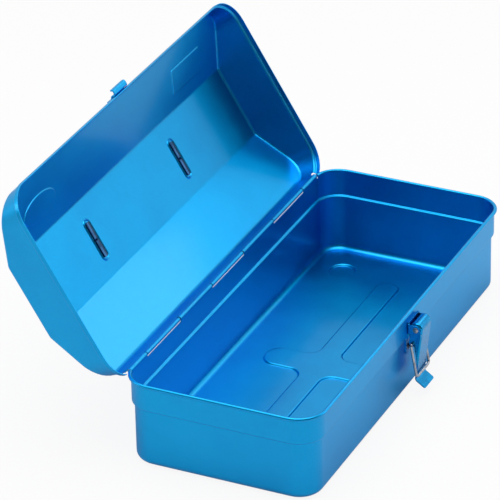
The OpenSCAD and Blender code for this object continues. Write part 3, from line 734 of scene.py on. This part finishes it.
def bare_steel(name, shade, roughness, brushed=(1, 1, 1)):
    """Plated or drawn steel with fine lines along its length and grime that dulls it."""
    steel = Paint(name, Metallic=1.0)
    stretched = steel.add("ShaderNodeMapping", None, {"Vector": steel.place, "Scale": brushed})
    lines = steel.add("ShaderNodeTexNoise", None, {
        "Vector": stretched, "Scale": LINE_GRAIN, "Detail": 3.0, "Roughness": 0.6})
    grime = steel.span(steel.noise(GRIME_GRAIN, 4.0, 0.65), 0.46, 0.66)
    clean, grimy = ((*[c * share for c in shade], 1) for share in (1.05, 0.45))
    steel.set(
        Base_Color=steel.blend(grime * 0.5 + lines * 0.15, clean, grimy),
        Roughness=grime * 0.16 + lines * 0.10 + roughness)
    steel.relief(lines, 0.02 * MM, 0.6)
    return steel.owner


pin = bmesh.new()
draw_wire(pin, PIN_RADIUS, [(2 * HINGE_END, 0, 0)], Matrix.Translation((-HINGE_END, PIN_Y, PIN_Z)))
finish_piece("hinge_wire", pin, "box", "hinge_pin",
             bare_steel("pin steel", PIN_STEEL, 0.30, (0.05, 1, 1)), edge=0.3 * MM)


# ---------------------------------------------------------------- keeper
# The keeper is a hook of 1.2 mm sheet, bent to the shape of the lid's skirt, spot-welded
# to the front wall and painted with the lid. The latch's loop catches on its lip.

KEEPER_SHEET = 1.2 * MM
# half its width, and half of the middle that its rounded corners leave alone
KEEPER_HALF, KEEPER_FLAT = 10 * MM, 4 * MM
KEEPER_TOP = 82.24 * MM
# the lid's front wall is this far out at this depth below the keeper's top
WALL_OUT, WALL_DOWN = 80.5 * MM, 8 * MM
KEEPER_GAP = 0.02 * MM
# its bends from the top down, as (straight length, turn in degrees, bend radius)
KEEPER_BENDS = (
    (5.2 * MM, DRAFT - 55, 1 * MM), (2.1 * MM, 55, 1 * MM), (2 * MM, -90, 1.2 * MM),
    (1.9 * MM, -90, 1.2 * MM), (1.6 * MM, 0, 0))
LIP_CORNER, HEEL_CORNER = 1.4 * MM, 2 * MM

keeper = bmesh.new()
keeper_y = -(WALL_OUT - lean * WALL_DOWN) - KEEPER_GAP \
    - KEEPER_SHEET / 2 / math.cos(math.radians(DRAFT))
keeper_profile = rolled((keeper_y, KEEPER_TOP, -90 - DRAFT), KEEPER_BENDS)
draw_across(keeper, keeper_profile, (-KEEPER_HALF, -KEEPER_FLAT, KEEPER_FLAT, KEEPER_HALF))
sides = [v for v in keeper.verts if abs(abs(v.co.x) - KEEPER_HALF) < SAME]
lip = [v for v in sides if (v.co - Vector((v.co.x, *keeper_profile[-1]))).length < SAME]
heel = [v for v in sides if v.co.z > KEEPER_TOP - SAME]
round_corners(keeper, lip, LIP_CORNER, 4)
round_corners(keeper, heel, HEEL_CORNER, 4)
swing_open(keeper)
finish_piece("lid_keeper", keeper, "lid", "keeper", lid_paint, KEEPER_SHEET)


# ---------------------------------------------------------------- latch base
# The latch's base is a painted bracket of 1 mm sheet, riveted under the tray's band. Its
# two ears stand out to carry the lever's pin.

LATCH_SHEET = 1 * MM
LATCH_EDGE = 0.15 * MM
BASE_HALF = 10 * MM
BASE_TOP, BASE_FOOT = 63.2 * MM, 34.4 * MM
BASE_CORNER = 4 * MM
LEVER_PIN_OUT, LEVER_PIN_Z = 6.6 * MM, 58 * MM
EAR_RADIUS = 3.7 * MM
EAR_EASE = 1.1 * MM
JOGGLE_Z = 50.84 * MM
JOGGLE_ANGLE = 60
JOGGLE_BENDS = (2.1 * MM, 1.2 * MM)
# a fold that turns by more than this, in radians, is where a side stands up
SIDE_ANGLE = 1.4
LATCH_DEEP, LATCH_BRIGHT = (0.0, 0.25, 0.58, 1), (0.0, 0.40, 0.80, 1)
CHIP_GREY = (0.30, 0.34, 0.40, 1)
CHIP_GRAIN, SCUFF_GRAIN = 330, 120


def out_from_band(out, up, x=0.0):
    """The place this far out from the front of the tray's band."""
    return x, -BAND_Y - out, up


def fold_sides(bm, outline, half_width, ease, segments):
    """Adds a side of this outline to both edges of a strip, with a soft bend between."""
    for side in (-1, 1):
        bm.faces.new([bm.verts.new(out_from_band(out, up, side * half_width))
                      for out, up in outline])
    bmesh.ops.remove_doubles(bm, verts=bm.verts, dist=NEAR)
    bmesh.ops.recalc_face_normals(bm, faces=bm.faces)
    bm.normal_update()
    ease_folds(bm, [e for e in bm.edges if len(e.link_faces) == 2
                    and e.calc_face_angle() > SIDE_ANGLE], ease, segments)


def latch_paint(name, chipped):
    """The same blue on the latch, scuffed and with a few chips down to grey steel."""
    paint = Paint(name, Metallic=1.0, Coat_Weight=0.2, Coat_Roughness=COAT_ROUGHNESS)
    flakes = paint.span(paint.noise(FLAKE_GRAIN, 1.0), 0.42, 0.64)
    chips = paint.span(paint.noise(CHIP_GRAIN, 4.0, 0.7), 0.70 - chipped, 0.72 - chipped)
    scuffs = paint.span(paint.noise(SCUFF_GRAIN, 3.0, 0.6), 0.4, 0.7)
    blue = paint.blend(flakes * 0.5 + scuffs * 0.5, LATCH_DEEP, LATCH_BRIGHT)
    paint.set(
        Base_Color=paint.blend(chips * 0.8, blue, CHIP_GREY),
        Roughness=scuffs * 0.10 + chips * 0.06 + 0.24)
    paint.relief(paint.noise(PEEL_GRAIN) - chips * 0.5, 0.04 * MM, 0.5)
    return paint.owner


base = bmesh.new()
joggle_run = joggle(STEP_IN, JOGGLE_ANGLE, *JOGGLE_BENDS)
ear_top, ear_foot = LEVER_PIN_Z + EAR_RADIUS, LEVER_PIN_Z - EAR_RADIUS
base_profile = rolled((LATCH_SHEET / 2, BASE_TOP, -90), [
    (BASE_TOP - ear_top, 0, 0), (2 * EAR_RADIUS, 0, 0),
    (ear_foot - JOGGLE_Z, -JOGGLE_ANGLE, JOGGLE_BENDS[0]),
    (joggle_run, JOGGLE_ANGLE, JOGGLE_BENDS[1])])
base_profile.append((base_profile[-1][0], BASE_FOOT))
strip = row(base, [out_from_band(out, up, -BASE_HALF) for out, up in base_profile])
slide(base, strip, (2 * BASE_HALF, 0, 0))
ear_run = LEVER_PIN_OUT - LATCH_SHEET / 2
ear = rolled((LATCH_SHEET / 2, ear_top, 0), [
    (ear_run, -180, EAR_RADIUS), (ear_run, 0, 0)], 15)
fold_sides(base, ear, BASE_HALF, EAR_EASE, 4)
round_corners(base, [
    v for v in base.verts if len(v.link_edges) == 2
    and abs(abs(v.co.x) - BASE_HALF) < SAME and v.co.z < BASE_FOOT + SAME], BASE_CORNER)
finish_piece("latch_bracket", base, "box", "latch_base",
             latch_paint("latch paint", 0.0), LATCH_SHEET, edge=LATCH_EDGE)


# ---------------------------------------------------------------- rivets and lever pin
# Two domed steel rivets hold the base to the tray; their set heads show inside. A short
# headed pin carries the lever between the ears.

RIVET_X, RIVET_Z, RIVET_RADIUS = 5 * MM, 40.4 * MM, 1.6 * MM
# the sheets that a rivet holds, and how far its head stands off them
RIVET_STACK = 1.8 * MM
RIVET_STAND = 0.1 * MM
# the pin, and half the width over the ears, where its heads sit
LEVER_PIN_RADIUS = 1.5 * MM
LATCH_HALF = 10.5 * MM
# domed heads as (radius, height)
RIVET_HEAD = (2.88 * MM, 1.02 * MM)
RIVET_TAIL = (2.88 * MM, 0.8 * MM)
LEVER_PIN_HEAD = (2.4 * MM, 0.75 * MM)
LATHE_STEPS = 28
RIVET_STEEL = (0.46, 0.47, 0.50)


def dome(radius, height, base_z, way):
    """Half outline of a low domed head as (radius, height) points, from rim to crown."""
    ball = (radius * radius + height * height) / (2 * height)
    rim = math.degrees(math.acos(radius / ball))
    arc = rolled((radius, 0, 90 + rim), [(0, 90 - rim, ball)], 8)
    return [(r, base_z + way * h) for r, h in arc]


def headed(radius, top, foot, head, tail):
    """Half outline of a round shank from top to foot, with a domed head on each end."""
    return dome(*head, top, 1)[::-1] + [(radius, top), (radius, foot)] + dome(*tail, foot, -1)


def lathe(bm, outline, matrix):
    """Turns an outline of (radius, height) points once round the matrix's z axis."""
    old = set(bm.verts)
    strip = row(bm, [(r, 0, h) for r, h in outline])
    bmesh.ops.spin(bm, geom=strip, cent=(0, 0, 0), axis=(0, 0, 1), angle=2 * math.pi,
                   steps=LATHE_STEPS, dvec=(0, 0, 0), use_merge=True, use_duplicate=False)
    made = [v for v in bm.verts if v not in old]
    bmesh.ops.remove_doubles(bm, verts=made, dist=SAME)
    bmesh.ops.transform(bm, matrix=matrix, verts=[v for v in bm.verts if v not in old])


rivet_steel = bare_steel("rivet steel", RIVET_STEEL, 0.34)
rivets = bmesh.new()
for side in (-1, 1):
    seat = Matrix.Translation(out_from_band(
        LATCH_SHEET + RIVET_STAND - STEP_IN, RIVET_Z, side * RIVET_X))
    lathe(rivets, headed(RIVET_RADIUS, 0, -RIVET_STACK, RIVET_HEAD, RIVET_TAIL),
          seat @ Matrix.Rotation(math.pi / 2, 4, "X"))
finish_piece("bracket_rivets", rivets, "box", "latch_rivets", rivet_steel,
             edge=LATCH_EDGE)

lever_pin = bmesh.new()
lathe(lever_pin, headed(LEVER_PIN_RADIUS, LATCH_HALF, -LATCH_HALF, LEVER_PIN_HEAD, LEVER_PIN_HEAD),
      Matrix.Translation(out_from_band(LEVER_PIN_OUT, LEVER_PIN_Z))
      @ Matrix.Rotation(math.pi / 2, 4, "Y"))
finish_piece("lever_axle", lever_pin, "box", "lever_pin", rivet_steel,
             edge=LATCH_EDGE)


# ---------------------------------------------------------------- latch lever
# The lever is one strip of 1 mm sheet: rolled over the pin at the top, with two folded
# cheeks and a thumb tab bent out at the bottom. Hands have rubbed its paint.

LEVER_HALF = 8.8 * MM
LEVER_ROLL = 4.7 * MM
LEVER_WRAP, LEVER_LEAN = 164, 7
LEVER_FACE, CHEEK_RUN = 42 * MM, 30 * MM
CHEEK_EASE = 1.0 * MM
TAB, TAB_TURN, TAB_BEND, TAB_CORNER = 8 * MM, 62, 3 * MM, 1.6 * MM
LOOP_OUT, LOOP_Z = 3.6 * MM, 45.5 * MM
# the cheeks end in a round toe about the loop's pivot
CHEEK_TOE = 2.7 * MM
TOE_START, TOE_TURN = -60, 120

lever = bmesh.new()
wrap, toe = math.radians(LEVER_WRAP), math.radians(TOE_START)
roll_start = (LEVER_PIN_OUT + LEVER_ROLL * math.cos(wrap),
              LEVER_PIN_Z + LEVER_ROLL * math.sin(wrap))
lever_profile = rolled((*roll_start, LEVER_WRAP - 90), [
    (0, -LEVER_WRAP - LEVER_LEAN, LEVER_ROLL), (CHEEK_RUN, 0, 0),
    (LEVER_FACE - CHEEK_RUN, TAB_TURN, TAB_BEND), (TAB, 0, 0)])
strip = row(lever, [out_from_band(out, up, -LEVER_HALF) for out, up in lever_profile])
slide(lever, strip, (2 * LEVER_HALF, 0, 0))
# a cheek follows the strip from its start through the roll to the end of the cheek's
# run, and comes back round the toe to the roll's inside
cheek_end = math.ceil((LEVER_WRAP + LEVER_LEAN) / ROLL_STEP) + 2
cheek = lever_profile[:cheek_end] + rolled(
    (LOOP_OUT + CHEEK_TOE * math.cos(toe), LOOP_Z + CHEEK_TOE * math.sin(toe), TOE_START - 90),
    [(0, -TOE_TURN, CHEEK_TOE)], 15) + rolled(
    (LEVER_PIN_OUT - LEVER_ROLL, LEVER_PIN_Z, 90), [(0, LEVER_WRAP - 180, LEVER_ROLL)])[:-1]
fold_sides(lever, cheek, LEVER_HALF, CHEEK_EASE, 3)
bmesh.ops.remove_doubles(lever, verts=lever.verts, dist=MERGE)
tab_z = lever_profile[-1][1]
round_corners(lever, [v for v in lever.verts if abs(v.co.z - tab_z) < SAME], TAB_CORNER, 4)
finish_piece("lever_strip", lever, "lever", "latch_lever",
             latch_paint("lever paint", 0.03), LATCH_SHEET, edge=LATCH_EDGE)


# ---------------------------------------------------------------- latch loop
# The loop is hard spring wire in bright plating. Its two inturned ends pivot in the
# lever's cheeks, and its crossbar hangs over the lever's face.

LOOP_WIRE = 1.1 * MM
LOOP_LEG_X = 12.1 * MM
LOOP_END_X = 7.1 * MM
LOOP_LENGTH = 27.2 * MM
LOOP_END_BEND, LOOP_BAR_BEND = 1.6 * MM, 3 * MM
# it hangs this many degrees off upright, with its bar just in front of the lever
LOOP_HANG = 10.22
WIRE_STEEL = (0.44, 0.46, 0.51)

loop = bmesh.new()
leg = LOOP_LENGTH - LOOP_END_BEND - LOOP_BAR_BEND
inturn = LOOP_LEG_X - LOOP_END_BEND - LOOP_END_X
draw_wire(loop, LOOP_WIRE, [
    (inturn, 90, LOOP_END_BEND), (leg, 90, LOOP_BAR_BEND),
    (2 * (LOOP_LEG_X - LOOP_BAR_BEND), 90, LOOP_BAR_BEND), (leg, 90, LOOP_END_BEND),
    (inturn, 0, 0)],
    Matrix.Translation(out_from_band(LOOP_OUT, LOOP_Z))
    @ Matrix.Rotation(math.radians(90 - LOOP_HANG), 4, "X")
    @ Matrix.Translation((-LOOP_END_X, 0, 0)) @ Matrix.Rotation(math.pi, 4, "Z"), 16)
finish_piece("loop_wire", loop, "loop", "latch_loop",
             bare_steel("wire steel", WIRE_STEEL, 0.2), edge=0.25 * MM)


# ---------------------------------------------------------------- handle clips
# Each clip is a steel strap wound round the handle's rod. Its two legs go down through a
# slot in the lid and are bent apart inside, in the middle of a pressed oval bead.

STRAP = 1.2 * MM
STRAP_HALF = 2.1 * MM
EYE_RADIUS = 3.08 * MM
ROD_Z = 114.28 * MM
CLIP_LEG = 15 * MM
CLIP_CORNER = 1.2 * MM
STRAP_EDGE = 0.15 * MM
# a rib down the middle of each leg, this deep and this share of the strap's width, runs
# on into the bend until that has risen this much
CLIP_RIB, RIB_SHARE, RIB_END = 0.5 * MM, 0.45, 0.1 * MM
THROAT_BEND = 1.0 * MM
LEG_BEND = 0.8 * MM
CLIP_STEEL = (0.03, 0.09, 0.20)

eye = EYE_RADIUS + STRAP / 2
throat = math.degrees(math.acos((STRAP / 2 + THROAT_BEND) / (eye + THROAT_BEND)))
throat_z = ROD_Z - (eye + THROAT_BEND) * math.sin(math.radians(throat))
leg_z = LID_TOP_Z - LID_SHEET - STRAP / 2
leg_run = CLIP_LEG - STRAP / 2 - LEG_BEND
neck = throat_z - leg_z - LEG_BEND
clip_profile = rolled((-CLIP_LEG, leg_z, 0), [
    (leg_run, 90, LEG_BEND), (neck, throat, THROAT_BEND), (0, -180 - 2 * throat, eye),
    (0, throat, THROAT_BEND), (neck, 90, LEG_BEND), (leg_run, 0, 0)], 10)
clip_steel = bare_steel("clip steel", CLIP_STEEL, 0.15, (1, 0.1, 1))
for side, name in ((-1, "left"), (1, "right")):
    clip = bmesh.new()
    middle = side * CLIP_X
    draw_across(clip, clip_profile, [
        middle + share * STRAP_HALF for share in (-1, -RIB_SHARE, 0, RIB_SHARE, 1)])
    bmesh.ops.translate(clip, vec=(0, 0, -CLIP_RIB), verts=[
        v for v in clip.verts
        if abs(v.co.x - middle) < RIB_END and abs(v.co.z - leg_z) < RIB_END])
    tips = [v for v in clip.verts if abs(abs(v.co.y) - CLIP_LEG) < SAME
            and abs(v.co.x - middle) > STRAP_HALF - SAME]
    round_corners(clip, tips, CLIP_CORNER, 3)
    swing_open(clip)
    finish_piece("clip_strap_" + name, clip, "lid", "handle_clip_" + name,
                 clip_steel, STRAP, edge=STRAP_EDGE)


# ---------------------------------------------------------------- handle
# The handle is a bent 6 mm steel rod with upset ends, plated, and a painted sheet sleeve
# rolled round its middle for the hand. It hangs behind the open lid.

ROD_RADIUS = 3 * MM
HANDLE_LEG_X, TAIL_X = 65.65 * MM, 75.95 * MM
PIVOT_BEND, GRIP_BEND = 4 * MM, 9 * MM
REACH = 42 * MM
HEAD_RADIUS, HEAD_HEIGHT, HEAD_EDGE = 3.8 * MM, 1.6 * MM, 0.5 * MM
GRIP_HALF, GRIP_RADIUS, GRIP_SHEET = 43 * MM, 6.5 * MM, 1 * MM
GRIP_SHOULDER, GRIP_PLAY = 2.2 * MM, 0.05 * MM
# the rolled sleeve's two edges stop this far apart
GRIP_SEAM = math.radians(7)
GRIP_STEPS = 40
ROD_STEEL = (0.62, 0.63, 0.66)

hang = Matrix.Translation((0, 0, ROD_Z)) @ Matrix.Rotation(LID_OPEN - math.pi / 2, 4, "X")
bail = bmesh.new()
tail_run = TAIL_X - HANDLE_LEG_X - PIVOT_BEND
side_run = REACH - PIVOT_BEND - GRIP_BEND
draw_wire(bail, ROD_RADIUS, [
    (tail_run, 90, PIVOT_BEND), (side_run, -90, GRIP_BEND),
    (2 * (HANDLE_LEG_X - GRIP_BEND), -90, GRIP_BEND), (side_run, 90, PIVOT_BEND),
    (tail_run, 0, 0)], hang @ Matrix.Translation((-TAIL_X, 0, 0)), 28)
# an upset head is a flattened disc with a swollen rim
head_flat = HEAD_RADIUS - HEAD_EDGE
upset_head = [(0, 0)] + rolled((head_flat, 0, 0), [
    (0, 90, HEAD_EDGE), (HEAD_HEIGHT - 2 * HEAD_EDGE, 90, HEAD_EDGE)], 30) + [(0, HEAD_HEIGHT)]
for side in (-1, 1):
    lathe(bail, upset_head, hang @ Matrix.Translation((side * TAIL_X, 0, 0))
          @ Matrix.Rotation(side * math.pi / 2, 4, "Y"))
swing_open(bail)
finish_piece("bail_rod", bail, "handle", "handle_bail",
             bare_steel("rod steel", ROD_STEEL, 0.24), edge=0)

grip = bmesh.new()
collar = ROD_RADIUS + GRIP_PLAY + GRIP_SHEET / 2
shoulder_rise = GRIP_RADIUS - GRIP_SHEET / 2 - collar - GRIP_SHOULDER
sleeve = rolled((-GRIP_HALF + GRIP_SHEET / 2, collar, 90), [
    (shoulder_rise, -90, GRIP_SHOULDER),
    (2 * (GRIP_HALF - GRIP_SHEET / 2 - GRIP_SHOULDER), -90, GRIP_SHOULDER),
    (shoulder_rise, 0, 0)], 15)
strip = row(grip, [
    (x, r * math.sin(GRIP_SEAM / 2), r * math.cos(GRIP_SEAM / 2)) for x, r in sleeve])
swing(grip, strip, (0, 0, 0), -(2 * math.pi - GRIP_SEAM), GRIP_STEPS, (1, 0, 0))
bmesh.ops.transform(grip, matrix=hang @ Matrix.Translation((0, REACH, 0)), verts=grip.verts)
swing_open(grip)
finish_piece("grip_sleeve", grip, "handle", "handle_grip",
             latch_paint("grip paint", 0.05), GRIP_SHEET)
